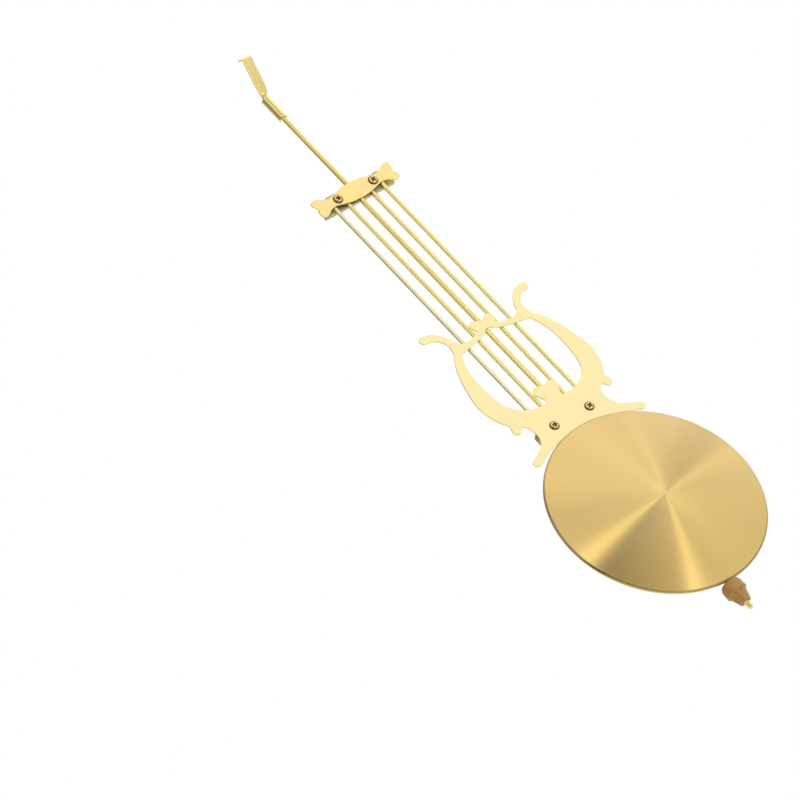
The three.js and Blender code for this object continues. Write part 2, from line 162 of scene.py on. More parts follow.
body_of = {node: body for body, nodes in frame["record"]["behaviour"]["bodies"].items() for node in nodes}
rod_axis_y = sum(corner.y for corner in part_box("centre_rod")) / 2
bob_centre = sum(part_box("bob_front_shell"), Vector()) / 2
bob_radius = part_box("bob_front_shell")[1].x


# Meshes


def smooth_step(share):
    """Eases from 0 to 1, level at both ends."""
    share = min(max(share, 0), 1)
    return share * share * (3 - 2 * share)


def middle(low, high, depth=0):
    """The middle of a box as seen from the front, at a depth."""
    return Vector(((low.x + high.x) / 2, depth, (low.z + high.z) / 2))


def arc(centre, radius, start, end, steps):
    """Points of an arc in a plane, from one angle to another."""
    angles = [start + (end - start) * i / steps for i in range(steps + 1)]
    return [(centre[0] + radius * math.cos(a), centre[1] + radius * math.sin(a)) for a in angles]


def mesh_from(name, points, faces):
    mesh = bpy.data.meshes.new(name)
    mesh.from_pydata([tuple(point) for point in points], [], faces)
    return settled(mesh)


def settled(mesh):
    """Joins double points and turns every face outwards."""
    work = bmesh.new()
    work.from_mesh(mesh)
    bmesh.ops.remove_doubles(work, verts=work.verts, dist=TINY)
    bmesh.ops.recalc_face_normals(work, faces=work.faces)
    work.to_mesh(mesh)
    work.free()
    return mesh


def in_scene(name, data):
    """A new object, linked to the scene."""
    made = bpy.data.objects.new(name, data)
    bpy.context.scene.collection.objects.link(made)
    return made


def taken_from(holder):
    """The mesh that an object makes with its settings and modifiers. The object itself is removed."""
    graph = bpy.context.evaluated_depsgraph_get()
    mesh = bpy.data.meshes.new_from_object(holder.evaluated_get(graph))
    bpy.data.objects.remove(holder)
    return mesh


def with_modifiers(mesh, modifiers):
    """The mesh after some modifiers, given as (type, settings) pairs."""
    holder = in_scene("holder", mesh)
    for kind, settings in modifiers:
        modifier = holder.modifiers.new(kind, kind)
        for key, value in settings.items():
            setattr(modifier, key, value)
    return taken_from(holder)


def rounding(width, angle, segments=edge_segments):
    """The modifier that rounds the edges at which a surface turns by more than an angle."""
    return "BEVEL", {"width": width, "segments": segments, "limit_method": "ANGLE", "angle_limit": angle}


def shade(mesh, flat_area=None, sharp_angle=smooth_angle):
    """Smooth shading, with sharp edges kept.
    Faces from flat_area up stay flat, so that they mirror evenly."""
    mesh.set_sharp_from_angle(angle=sharp_angle)
    for face in mesh.polygons:
        face.use_smooth = flat_area is None or face.area < flat_area
    return mesh


def add_piece(node, mesh, look, seat=Vector()):
    """Puts a finished mesh in the place of a CAD node, on the same body.
    The seat becomes the piece's own origin, from which its material is laid out."""
    mesh.transform(Matrix.Translation(-seat))
    piece = in_scene(node + "_finished", mesh)
    piece.location = seat
    mesh.materials.clear()
    mesh.materials.append(look)
    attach(piece, body_of[node])
    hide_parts(node)


def turned(name, profile, sides, seat, axis, relief=None, closed=False):
    """A solid turned about the Y or Z axis through seat, from (radius, height) pairs.
    relief(angle, height) is taken off the radius. A closed profile runs round a bore."""
    points, rows = [], []
    for radius, height in profile:
        count = 1 if radius < TINY else sides
        rows.append([len(points) + i for i in range(count)])
        for i in range(count):
            angle = 2 * math.pi * i / sides
            reach = radius - (relief(angle, height) if relief and count > 1 else 0)
            across, along = reach * math.cos(angle), reach * math.sin(angle)
            place = (across, along, height) if axis == "Z" else (across, height, along)
            points.append(seat + Vector(place))
    pairs = list(zip(rows, rows[1:] + rows[:1])) if closed else list(zip(rows, rows[1:]))
    faces = []
    for first, second in pairs:
        for i in range(sides):
            corners = [first[i % len(first)], first[(i + 1) % len(first)],
                       second[(i + 1) % len(second)], second[i % len(second)]]
            faces.append(list(dict.fromkeys(corners)))
    if not closed:
        faces += [row for row in (rows[0], rows[-1]) if len(row) > 1]
    return mesh_from(name, points, faces)


def thread(start, end):
    """The relief of a right hand thread between two heights, fading out at both ends."""
    def relief(angle, height):
        turn = (height / thread_pitch - angle / (2 * math.pi)) % 1
        fade = min((height - start) / thread_pitch, (end - height) / thread_pitch, 1)
        return thread_depth * max(fade, 0) * abs(2 * turn - 1)
    return relief


def threaded_shank(start, end, radius):
    """Profile points along a straight shank, close enough together for its thread."""
    step = thread_pitch / thread_steps_per_turn
    count = max(round(abs(end - start) / step), 1)
    return [(radius, start + (end - start) * i / count) for i in range(count + 1)]


def rod_mesh(node, sides, threaded=0):
    """A drawn rod with chamfered ends, threaded over a length from its lower end."""
    low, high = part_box(node)
    radius = (high.x - low.x) / 2
    seat = Vector(((low.x + high.x) / 2, rod_axis_y, 0))
    ends = radius - rod_end_chamfer
    shank = [(radius, low.z + rod_end_chamfer), (radius, high.z - rod_end_chamfer)]
    relief = None
    if threaded:
        root = low.z + threaded
        shank = threaded_shank(low.z + rod_end_chamfer, root, radius) + shank[1:]
        relief = thread(low.z, root)
    profile = [(0, low.z), (ends, low.z), *shank, (ends, high.z), (0, high.z)]
    return shade(turned(node, profile, sides, seat, "Z", relief))


# Plates: their outlines are read from the frame, drawn through with smooth curves and given rolled edges.


def front_loops(node):
    """The closed outlines of a plate's front face, as lists of (x, z) points."""
    front_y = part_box(node)[0].y
    work = bmesh.new()
    work.from_mesh(frame["nodes"][node].data)
    bmesh.ops.remove_doubles(work, verts=work.verts, dist=TINY)
    front = {face for face in work.faces if all(abs(v.co.y - front_y) < TINY for v in face.verts)}
    edges = [edge for edge in work.edges if sum(face in front for face in edge.link_faces) == 1]
    loops = []
    while edges:
        edge = edges.pop()
        start, here = edge.verts
        loop = [start, here]
        while here is not start:
            edge = next(e for e in here.link_edges if e in edges)
            edges.remove(edge)
            here = edge.other_vert(here)
            loop.append(here)
        loops.append([Vector((v.co.x, v.co.z)) for v in loop[:-1]])
    work.free()
    return loops


def drawn_through(loop):
    """A smooth closed curve through the points of a loop, which keeps its sharp corners.
    From point to point it is a cubic that leaves and arrives along the directions set for its ends."""
    count = len(loop)
    tangents = []
    for i, point in enumerate(loop):
        before, after = point - loop[i - 1], loop[(i + 1) % count] - point
        is_corner = before.angle(after) > corner_angle
        tangents.append((before.normalized(), after.normalized()) if is_corner
                        else ((before + after).normalized(),) * 2)
    drawn = []
    for i, point in enumerate(loop):
        other = loop[(i + 1) % count]
        length = (other - point).length
        leaving, arriving = tangents[i][1] * length, tangents[(i + 1) % count][0] * length
        for step in range(curve_pieces):
            t = step / curve_pieces
            drawn.append(
                point * (2 * t**3 - 3 * t**2 + 1) + leaving * (t**3 - 2 * t**2 + t)
                + other * (3 * t**2 - 2 * t**3) + arriving * (t**3 - t**2)
            )
    return drawn


def plate_mesh(node):
    """A stamped plate. The filled curve is drawn in millimetres, where Blender fills it without loss."""
    low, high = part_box(node)
    curve = bpy.data.curves.new(node, "CURVE")
    curve.dimensions = "2D"
    curve.fill_mode = "BOTH"
    for loop in front_loops(node):
        drawn = drawn_through(loop)
        spline = curve.splines.new("POLY")
        spline.points.add(len(drawn) - 1)
        for point, place in zip(spline.points, drawn):
            point.co = (place.x / MM, place.y / MM, 0, 1)
        spline.use_cyclic_u = True
    curve.bevel_depth = plate_edge / MM
    curve.bevel_resolution = plate_edge_resolution
    curve.offset = -plate_edge / MM
    curve.extrude = ((high.y - low.y) / 2 - plate_edge) / MM
    mesh = taken_from(in_scene(node, curve))
    upright = Matrix.Rotation(math.pi / 2, 4, "X")
    mesh.transform(Matrix.Translation((0, (low.y + high.y) / 2, 0)) @ upright @ Matrix.Scale(MM, 4))
    settled(mesh)
    mesh.set_sharp_from_angle(angle=plate_smooth_angle)
    for face in mesh.polygons:
        face.use_smooth = abs(face.normal.y) < 1 - TINY
    return mesh


def eased_mesh(node, edge_width):
    """A copy of a CAD node with its flat faces made whole and its edges rounded."""
    mesh = frame["nodes"][node].data.copy()
    work = bmesh.new()
    work.from_mesh(mesh)
    bmesh.ops.remove_doubles(work, verts=work.verts, dist=TINY)
    bmesh.ops.dissolve_limit(work, angle_limit=coplanar_angle, verts=work.verts, edges=work.edges)
    work.to_mesh(mesh)
    work.free()
    rounded = with_modifiers(mesh, [rounding(edge_width, cad_edge_angle)])
    return shade(settled(rounded), flat_area=flat_face_area)


# Hanger: one sheet, drawn as the middle surface of the metal and then given its thickness.


def hanger_line():
    """The middle line of the strip from the lip's end to the barrel, and the height of the barrel's top.
    The line is a list of (y, z) points, each with the normal of the strip's back."""
    half = sheet / 2
    along = Vector((math.sin(strip_lean), -math.cos(strip_lean)))
    back = Vector((math.cos(strip_lean), math.sin(strip_lean)))
    wall_y = rod_axis_y - barrel_inner_radius - half
    barrel_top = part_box("hanger_hook")[0].z + barrel_length
    bend_middle = (along + back) * (lip_bend_radius - half)
    knee_centre = Vector((wall_y - knee_radius, barrel_top))
    line = []
    for i in range(lip_steps):
        reach = lip_length + (bend_middle.dot(back) - lip_length) * i / lip_steps
        line.append((along * -half + back * reach, -along))
    for i in range(lip_bend_steps + 1):
        angle = strip_lean + math.pi / 2 + math.pi / 2 * i / lip_bend_steps
        out = Vector((math.cos(angle), math.sin(angle)))
        line.append((bend_middle + out * lip_bend_radius, out))
    line = [(point, -normal) for point, normal in line]
    knee_start = knee_centre + back * knee_radius
    strip_start = line[-1][0]
    for i in range(1, strip_steps):
        line.append((strip_start.lerp(knee_start, i / strip_steps), back))
    for i in range(knee_steps + 1):
        angle = strip_lean * (1 - i / knee_steps)
        out = Vector((math.cos(angle), math.sin(angle)))
        line.append((knee_centre + out * knee_radius, out))
    return line, barrel_top


def hanger_mesh():
    """The strip with its hook, its neck curling into the barrel, and the barrel round the rod."""
    line, barrel_top = hanger_line()
    middle_radius = barrel_inner_radius + sheet / 2
    neck_width = 2 * neck_half_angle * middle_radius
    seam = math.pi - barrel_seam_half_angle
    points, rows = [], []
    for place, normal in line:
        rise = max(place.y - barrel_top, 0)
        width = neck_width + (strip_width - neck_width) * smooth_step(rise / neck_rise)
        curl = 1 - smooth_step(rise / neck_curl_rise)
        row = {}
        for column in range(-neck_columns, neck_columns + 1):
            across = width / 2 * column / neck_columns
            angle = across / middle_radius * curl
            x = across if curl < TINY else middle_radius / curl * math.sin(angle)
            depth = 0 if curl < TINY else middle_radius / curl * (1 - math.cos(angle))
            row[column] = len(points)
            points.append((x, place.x + normal.x * depth, place.y + normal.y * depth))
        rows.append(row)
    for step in range(barrel_steps + 1):
        row = dict(rows[-1]) if step == 0 else {}
        for column in range(-neck_columns - side_columns, neck_columns + side_columns + 1):
            if column in row:
                continue
            beyond = max(abs(column) - neck_columns, 0) / side_columns
            inner = min(abs(column) / neck_columns, 1) * neck_half_angle
            angle = math.copysign(inner + beyond * (seam - neck_half_angle), column)
            lift = barrel_free_edge_rise * beyond**barrel_free_edge_power if column < 0 else 0
            row[column] = len(points)
            points.append((
                (middle_radius + lift) * math.sin(angle),
                rod_axis_y - (middle_radius + lift) * math.cos(angle),
                barrel_top - barrel_length * step / barrel_steps,
            ))
        if step == 0:
            rows[-1] = row
        else:
            rows.append(row)
    faces = []
    for upper, lower in zip(rows, rows[1:]):
        for column in sorted(upper):
            if column + 1 in upper and column + 1 in lower and column in lower:
                faces.append([upper[column], upper[column + 1], lower[column + 1], lower[column]])
    mesh = mesh_from("hanger", points, faces)
    thick = {"thickness": sheet, "offset": 0, "use_even_offset": True}
    mesh = with_modifiers(mesh, [("SOLIDIFY", thick), rounding(hanger_edge, steep_edge_angle)])
    return shade(settled(mesh))


# Screws, rivets, bob and nut


def cross_recess(centre, turn):
    """The cross that a driver leaves: two wings that taper below the dome, open to the front."""
    levels = ((1, -recess_depth), (1, 0), (recess_foot_share, recess_depth))
    points = []
    for scale, depth in levels:
        length = recess_length / 2 * scale
        width = recess_width / 2 * ((1 + scale) / 2)
        ring = []
        for quarter in range(4):
            angle = turn + quarter * math.pi / 2
            out = Vector((math.cos(angle), 0, -math.sin(angle)))
            side = Vector((-math.sin(angle), 0, -math.cos(angle)))
            ring += [out * length - side * width, out * length + side * width, out * width + side * width]
        points += [centre + point + Vector((0, depth, 0)) for point in ring]
    count = len(points) // len(levels)
    faces = [list(range(count)), list(range(len(points) - count, len(points)))]
    for start in range(0, len(points) - count, count):
        for i in range(count):
            j = (i + 1) % count
            faces.append([start + i, start + j, start + count + j, start + count + i])
    return mesh_from("recess", points, faces)


def screw_mesh(node):
    """A domed head with a cross recess, on a threaded shank."""
    low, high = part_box(node)
    seat = middle(low, high)
    back = low.y + screw_head_height
    edge_angle = math.asin((screw_head_radius - screw_rim) / screw_dome_radius)
    dome = [(screw_dome_radius * math.sin(a), low.y + screw_dome_radius * (1 - math.cos(a)))
            for a in (edge_angle * i / dome_steps for i in range(dome_steps + 1))]
    dome[0] = (0, low.y)
    rim_centre = (screw_head_radius - screw_rim, back - screw_rim)
    rim = arc(rim_centre, screw_rim, -math.pi / 2 + edge_angle, math.pi / 2, screw_rim_steps)
    shank = threaded_shank(back, high.y - screw_rim, screw_shank_radius)
    tip = screw_shank_radius - thread_depth
    profile = [*dome, *rim, *shank, (tip, high.y), (0, high.y)]
    mesh = turned(node, profile, screw_sides, seat, "Y", thread(back, high.y + thread_pitch))
    cutter = in_scene("cutter", cross_recess(middle(low, high, low.y), screw_turns[node]))
    cut = {"operation": "DIFFERENCE", "solver": "EXACT", "object": cutter}
    soft = rounding(recess_edge, steep_edge_angle, recess_edge_segments)
    mesh = with_modifiers(mesh, [("BOOLEAN", cut), soft])
    bpy.data.objects.remove(cutter)
    return shade(settled(mesh))


def rivet_mesh(node):
    """A domed head behind, a shank and a flat tail in front."""
    low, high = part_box(node)
    seat = middle(low, high)
    radius = (high.x - low.x) / 2
    dome_radius = (radius**2 + rivet_head_height**2) / (2 * rivet_head_height)
    edge_angle = math.asin(radius / dome_radius)
    dome = [(dome_radius * math.sin(a), high.y - dome_radius * (1 - math.cos(a)))
            for a in (edge_angle * (1 - i / dome_steps) for i in range(dome_steps + 1))]
    dome[-1] = (0, high.y)
    tail = low.y + rivet_tail_height
    profile = [(0, low.y), (radius, low.y), (radius, tail), (rivet_shank_radius, tail),
               (rivet_shank_radius, high.y - rivet_head_height), *dome]
    return shade(turned(node, profile, rivet_sides, seat, "Y"))


def bob_mesh():
    """The spun shell: a shallow dome, a rolled rim, and a hem folded back over the disc behind."""
    low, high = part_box("bob_front_shell")
    radius = (high.x - low.x) / 2
    chord = radius - rim_radius
    cap_radius = (chord**2 + bob_rise**2) / (2 * bob_rise)
    cap_angle = math.asin(chord / cap_radius)
    rim_front = low.y + bob_rise
    inner_cap_radius = cap_radius - bob_sheet
    inner_angle = math.asin((radius - bob_sheet - hem_thickness) / inner_cap_radius)

    def cap(cap_size, angle, share):
        return (cap_size * math.sin(angle * share), low.y + cap_radius - cap_size * math.cos(angle * share))

    outside = [cap(cap_radius, cap_angle, i / bob_outside_steps) for i in range(bob_outside_steps + 1)]
    outside[0] = (0, outside[0][1])
    rim = arc((chord, rim_front + rim_radius), rim_radius, cap_angle - math.pi / 2, 0, rim_steps)
    fold_radius = hem_thickness / 2
    fold_centre = (radius - fold_radius, high.y - fold_radius)
    fold = arc(fold_centre, fold_radius, 0, math.pi / 2, hem_fold_steps)
    lip_centre = (radius - hem_width + fold_radius, high.y - fold_radius)
    lip = arc(lip_centre, fold_radius, math.pi / 2, 1.5 * math.pi, hem_lip_steps)
    inner_wall = [(radius - bob_sheet, high.y - hem_thickness), (radius - bob_sheet, rim_front + bob_sheet)]
    inside = [cap(inner_cap_radius, inner_angle, 1 - i / bob_inside_steps)
              for i in range(bob_inside_steps + 1)]
    inside[-1] = (0, inside[-1][1])
    profile = [*outside, *rim, *fold, *lip, *inner_wall, *inside]
    return shade(turned("bob", profile, bob_sides, Vector((0, 0, bob_centre.z)), "Y"))


def nut_mesh():
    """The moulded nut: a bore, a cone with shallow flutes, and a flange with a soft shoulder."""
    low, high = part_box("rating_nut")
    flange = (high.x - low.x) / 2
    flange_foot = high.z - nut_flange_height
    cone_top = flange_foot - nut_step_height
    cone_foot = low.z + nut_edge_radius

    def flute(angle, height):
        on_cone = smooth_step((height - cone_foot) / nut_edge_radius)
        on_cone *= smooth_step((cone_top - height) / nut_edge_radius)
        on_flange = smooth_step((height - flange_foot - nut_edge_radius) / nut_edge_radius)
        on_flange *= smooth_step((high.z - nut_flute_top - height) / nut_shoulder_height)
        return nut_flute_depth * (on_cone + on_flange) * (0.5 + 0.5 * math.cos(nut_flutes * angle)) ** 2

    spread = flange - nut_top_radius
    shoulder = [
        (nut_top_radius + spread * math.sin(a), high.z + nut_shoulder_height * (math.cos(a) - 1))
        for a in (math.pi / 2 * (1 - i / nut_shoulder_steps) for i in range(nut_shoulder_steps + 1))
    ]
    shoulder[-1] = (nut_top_radius, high.z)
    cone = [
        (nut_cone_foot_radius + (nut_cone_top_radius - nut_cone_foot_radius) * i / nut_cone_steps,
         cone_foot + (cone_top - cone_foot) * i / nut_cone_steps)
        for i in range(nut_cone_steps + 1)
    ]
    foot_centre = (nut_cone_foot_radius - nut_edge_radius, cone_foot)
    foot = arc(foot_centre, nut_edge_radius, -math.pi / 2, 0, nut_edge_steps)
    edge_centre = (flange - nut_edge_radius, flange_foot + nut_edge_radius)
    lower_edge = arc(edge_centre, nut_edge_radius, -math.pi / 2, 0, nut_edge_steps)
    profile = [
        (nut_bore_radius + nut_bore_edge, high.z), (nut_bore_radius, high.z - nut_bore_edge),
        (nut_bore_radius, low.z + nut_bore_edge), (nut_bore_radius + nut_bore_edge, low.z),
        *foot, *cone, *lower_edge, *shoulder,
    ]
    nut = turned("nut", profile, nut_sides, Vector((0, rod_axis_y, 0)), "Z", flute, closed=True)
    return shade(nut, sharp_angle=nut_smooth_angle)


# Materials: each has a dark and a light tone, between which it varies.
drawn_tones = ((0.93, 0.745, 0.26), (1.0, 0.85, 0.37))
# The outer left rod is the same drawn brass as the others; its paler tones are a painted reflection.
reflection_pale_drawn_tones = ((0.97, 0.86, 0.50), (1.0, 0.92, 0.60))
yellow_drawn_tones = ((0.97, 0.84, 0.34), (1.0, 0.90, 0.42))
lyre_tones = ((0.93, 0.785, 0.385), (0.98, 0.845, 0.44))
top_tones = ((0.92, 0.705, 0.275), (0.98, 0.765, 0.345))
spun_tones = ((0.865, 0.59, 0.155), (0.895, 0.612, 0.167))
steel_tones = ((0.65, 0.555, 0.335), (0.72, 0.62, 0.385))
bronze_tones = ((0.14, 0.057, 0.007), (0.25, 0.12, 0.017))
nylon_tones = ((0.43, 0.21, 0.048), (0.63, 0.35, 0.11))
noise_middle = (0.3, 0.7)
noise_roughness = 0.55

# The bob: where the rings of its brushing are centred, and how far out and how much it is smoother there
brushing_offset = (1.4 * MM, -1.8 * MM)
smoother_radius = 16 * MM
smoother_by = 0.09

# The painted shade round the bob, a dark band inside its rim: its tone, and the distances from the edge
# between which it fades in and out
rim_shade_tone = (0.43, 0.30, 0.078)
rim_shade_start = (0.75 * MM, 0.45 * MM)
rim_shade_end = (0.12 * MM, 0.03 * MM)

# The screws: the tone of the pale crown, rubbed wear and a painted highlight together, and how deep in the
# cross it fades out to the dark, which there is patina and painted shade
crown_wear_and_highlight_tone = (0.98, 0.78, 0.43)
crown_wear_and_highlight_depth = (0.04 * MM, 0.1 * MM)

# Sockets of Blender's Mix node that mix colours
mix_share, mix_first, mix_second, mix_result = 0, 6, 7, 2


class Finish:
    """A node material with a Principled shader, and short calls for what the finishes share."""

    def __init__(self, name, **constants):
        self.material = bpy.data.materials.new(name)
        self.material.use_nodes = True
        self.tree = self.material.node_tree
        self.shader = self.tree.nodes["Principled BSDF"]
        for socket, value in constants.items():
            self.shader.inputs[socket.replace("_", " ")].default_value = value
        self.place = self.add("ShaderNodeTexCoord").outputs["Object"]

    def add(self, kind, inputs=(), **settings):
        """A new node, with sockets or values for its inputs."""
        node = self.tree.nodes.new(kind)
        for key, value in settings.items():
            setattr(node, key, value)
        for socket, value in dict(inputs).items():
            self.join(value, node.inputs[socket])
        return node

    def join(self, value, socket):
        if isinstance(value, bpy.types.NodeSocket):
            self.tree.links.new(value, socket)
        else:
            socket.default_value = value

    def math(self, operation, *values):
        return self.add("ShaderNodeMath", enumerate(values), operation=operation).outputs[0]

    def vector_math(self, operation, *values):
        return self.add("ShaderNodeVectorMath", enumerate(values), operation=operation).outputs

    def off_axis(self, centre):
        """The way out from the axis along Y through a centre, and the distance from that axis."""
        offset = self.vector_math("SUBTRACT", self.place, centre)["Vector"]
        out = self.vector_math("MULTIPLY", offset, (1, 0, 1))["Vector"]
        return out, self.vector_math("LENGTH", out)["Value"]

    def noise(self, grain, detail=3, place=None):
        """Noise with a grain size in metres for each axis."""
        scale = [1 / size for size in grain]
        stretched = self.vector_math("MULTIPLY", place or self.place, scale)["Vector"]
        return self.add("ShaderNodeTexNoise", {
            "Vector": stretched, "Scale": 1, "Detail": detail, "Roughness": noise_roughness,
        }).outputs["Fac"]

    def blend(self, first, second, share):
        """Two values in one, with a share of the first."""
        return self.math("MULTIPLY_ADD", first, share, self.math("MULTIPLY", second, 1 - share))

    def span(self, value, low, high, start=noise_middle[0], end=noise_middle[1]):
        """Maps a value on to the range from low to high. Noise keeps mostly to its middle."""
        return self.add("ShaderNodeMapRange", {
            "Value": value, "From Min": start, "From Max": end, "To Min": low, "To Max": high,
        }).outputs["Result"]

    def mix(self, share, first, second):
        """A colour between two others."""
        inputs = {mix_share: share, mix_first: first, mix_second: second}
        return self.add("ShaderNodeMix", inputs, data_type="RGBA").outputs[mix_result]

    def tones(self, value, dark, light):
        """A colour between two tones, chosen by a noise value."""
        return self.mix(self.span(value, 0, 1), (*dark, 1), (*light, 1))

    def bump(self, height, distance, strength):
        bump = self.add("ShaderNodeBump", {"Height": height, "Distance": distance, "Strength": strength})
        self.join(bump.outputs["Normal"], self.shader.inputs["Normal"])

    def set(self, **values):
        """Gives sockets or values to inputs of the shader, and hands the material over."""
        for socket, value in values.items():
            self.join(value, self.shader.inputs[socket.replace("_", " ")])
        return self.material


def drawn_brass(name, tones):
    """Wire and strip: fine lengthwise die lines under clear lacquer."""
    finish = Finish(name, Metallic=1, Coat_Weight=0.15, Coat_Roughness=0.2)
    lines = finish.noise(grain=(0.18 * MM, 0.18 * MM, 9 * MM), detail=4)
    patches = finish.noise(grain=(5 * MM, 5 * MM, 14 * MM), detail=2)
    colour = finish.tones(finish.blend(lines, patches, share=0.2), *tones)
    finish.bump(lines, distance=0.0006 * MM, strength=0.2)
    return finish.set(Base_Color=colour, Roughness=finish.span(lines, low=0.25, high=0.27))


def satin_plate(name, tones):
    """Stamped and tumbled sheet: a fine even satin, with a few long faint scratches."""
    finish = Finish(name, Metallic=1, Coat_Weight=0.2, Coat_Roughness=0.25)
    fine = finish.noise(grain=(0.22 * MM, 0.22 * MM, 0.22 * MM), detail=4)
    clouds = finish.noise(grain=(9 * MM, 9 * MM, 7 * MM), detail=2)
    scratches = finish.noise(grain=(0.1 * MM, 1 * MM, 4 * MM), detail=2)
    mixed = finish.blend(fine, clouds, share=0.3)
    colour = finish.tones(mixed, *tones)
    relief = finish.math("MULTIPLY_ADD", scratches, 0.3, fine)
    finish.bump(relief, distance=0.004 * MM, strength=0.5)
    return finish.set(Base_Color=colour, Roughness=finish.span(mixed, low=0.27, high=0.36))


def spun_brass():
    """Sheet brushed in circles while it turned: light spreads across the rings and draws out as rays."""
    finish = Finish("spun_brass", Metallic=1, Anisotropic=1,
                    Coat_Weight=1, Coat_IOR=1.8, Coat_Roughness=0.28)
    out, radius = finish.off_axis((brushing_offset[0], 0, bob_centre.z + brushing_offset[1]))
    unit = finish.vector_math("NORMALIZE", out)["Vector"]
    turn = finish.add("ShaderNodeSeparateXYZ", {"Vector": unit})

    def rings(width, stroke):
        """Noise with a width along the radius, drawn out round the centre over a stroke in radians."""
        place = finish.add("ShaderNodeCombineXYZ", {
            "X": finish.math("DIVIDE", radius, width),
            "Y": finish.math("DIVIDE", turn.outputs["X"], stroke),
            "Z": finish.math("DIVIDE", turn.outputs["Z"], stroke),
        })
        return finish.noise(grain=(1, 1, 1), place=place.outputs["Vector"])

    fine = rings(width=0.16 * MM, stroke=0.9)
    broad = rings(width=1.1 * MM, stroke=1.6)
    mixed = finish.blend(fine, broad, share=0.5)
    # A dark band just inside the rim is painted shade, mixed over the brass.
    reach = finish.off_axis((0, 0, bob_centre.z))[1]
    entering = finish.span(reach, 0, 1, *(bob_radius - inset for inset in rim_shade_start))
    leaving = finish.span(reach, 1, 0, *(bob_radius - inset for inset in rim_shade_end))
    on_rim_shade = finish.math("MULTIPLY", entering, leaving)
    colour = finish.mix(on_rim_shade, finish.tones(mixed, *spun_tones), (*rim_shade_tone, 1))
    finish.bump(fine, distance=0.002 * MM, strength=0.3)
    nearness = finish.span(radius, 1, 0, 0, smoother_radius)
    smoother = finish.math("MULTIPLY", finish.math("MULTIPLY", nearness, nearness), -smoother_by)
    roughness = finish.math("ADD", finish.span(mixed, low=0.349, high=0.359), smoother)
    world = finish.add("ShaderNodeVectorTransform", {"Vector": unit}, vector_type="VECTOR",
                       convert_from="OBJECT", convert_to="WORLD").outputs["Vector"]
    return finish.set(Base_Color=colour, Roughness=roughness, Tangent=world)


def plated_steel():
    """Zinc plate with a yellow tint, blotched and a little rough."""
    finish = Finish("plated_steel", Metallic=1)
    blotches = finish.noise(grain=(2.4 * MM, 2.4 * MM, 2.4 * MM), detail=4)
    fine = finish.noise(grain=(0.15 * MM, 0.15 * MM, 0.15 * MM), detail=2)
    colour = finish.tones(blotches, *steel_tones)
    finish.bump(fine, distance=0.008 * MM, strength=0.5)
    return finish.set(Base_Color=colour, Roughness=finish.span(blotches, low=0.5, high=0.62))


def dark_bronze():
    """Antiqued screws: dark round the head and in the cross, where the dark is patina and painted shade;
    pale on the crown between, rubbed wear and a painted highlight.
    """
    finish = Finish("dark_bronze", Metallic=1)
    blotches = finish.noise(grain=(0.7 * MM, 0.7 * MM, 0.7 * MM), detail=4)
    reach = finish.off_axis((0, 0, 0))[1]
    depth = finish.add("ShaderNodeSeparateXYZ", {"Vector": finish.place}).outputs["Y"]
    sag = finish.math("DIVIDE", finish.math("MULTIPLY", reach, reach), 2 * screw_dome_radius)
    sunk = finish.math("SUBTRACT", depth, sag)
    # The pale crown is partly wear, partly a painted highlight; the dark kept in the cross is partly
    # painted shade.
    crown = finish.math(
        "MULTIPLY",
        finish.span(reach, 1, 0, screw_crown_radius - screw_rim, screw_crown_radius + screw_rim),
        finish.span(sunk, 1, 0, *crown_wear_and_highlight_depth),
    )
    colour = finish.mix(crown, finish.tones(blotches, *bronze_tones), (*crown_wear_and_highlight_tone, 1))
    finish.bump(blotches, distance=0.01 * MM, strength=0.5)
    return finish.set(Base_Color=colour, Roughness=finish.span(blotches, low=0.2, high=0.34))


def moulded_plastic():
    """Tan nylon with flow marks and a soft gloss."""
    finish = Finish("moulded_plastic", Metallic=0, Specular_IOR_Level=0.5)
    flow = finish.noise(grain=(1.5 * MM, 1.5 * MM, 4 * MM), detail=4)
    specks = finish.noise(grain=(0.35 * MM, 0.35 * MM, 0.5 * MM))
    colour = finish.tones(finish.blend(specks, flow, share=0.35), *nylon_tones)
    finish.bump(specks, distance=0.02 * MM, strength=0.4)
    return finish.set(Base_Color=colour, Roughness=finish.span(flow, low=0.38, high=0.55))


# Pieces


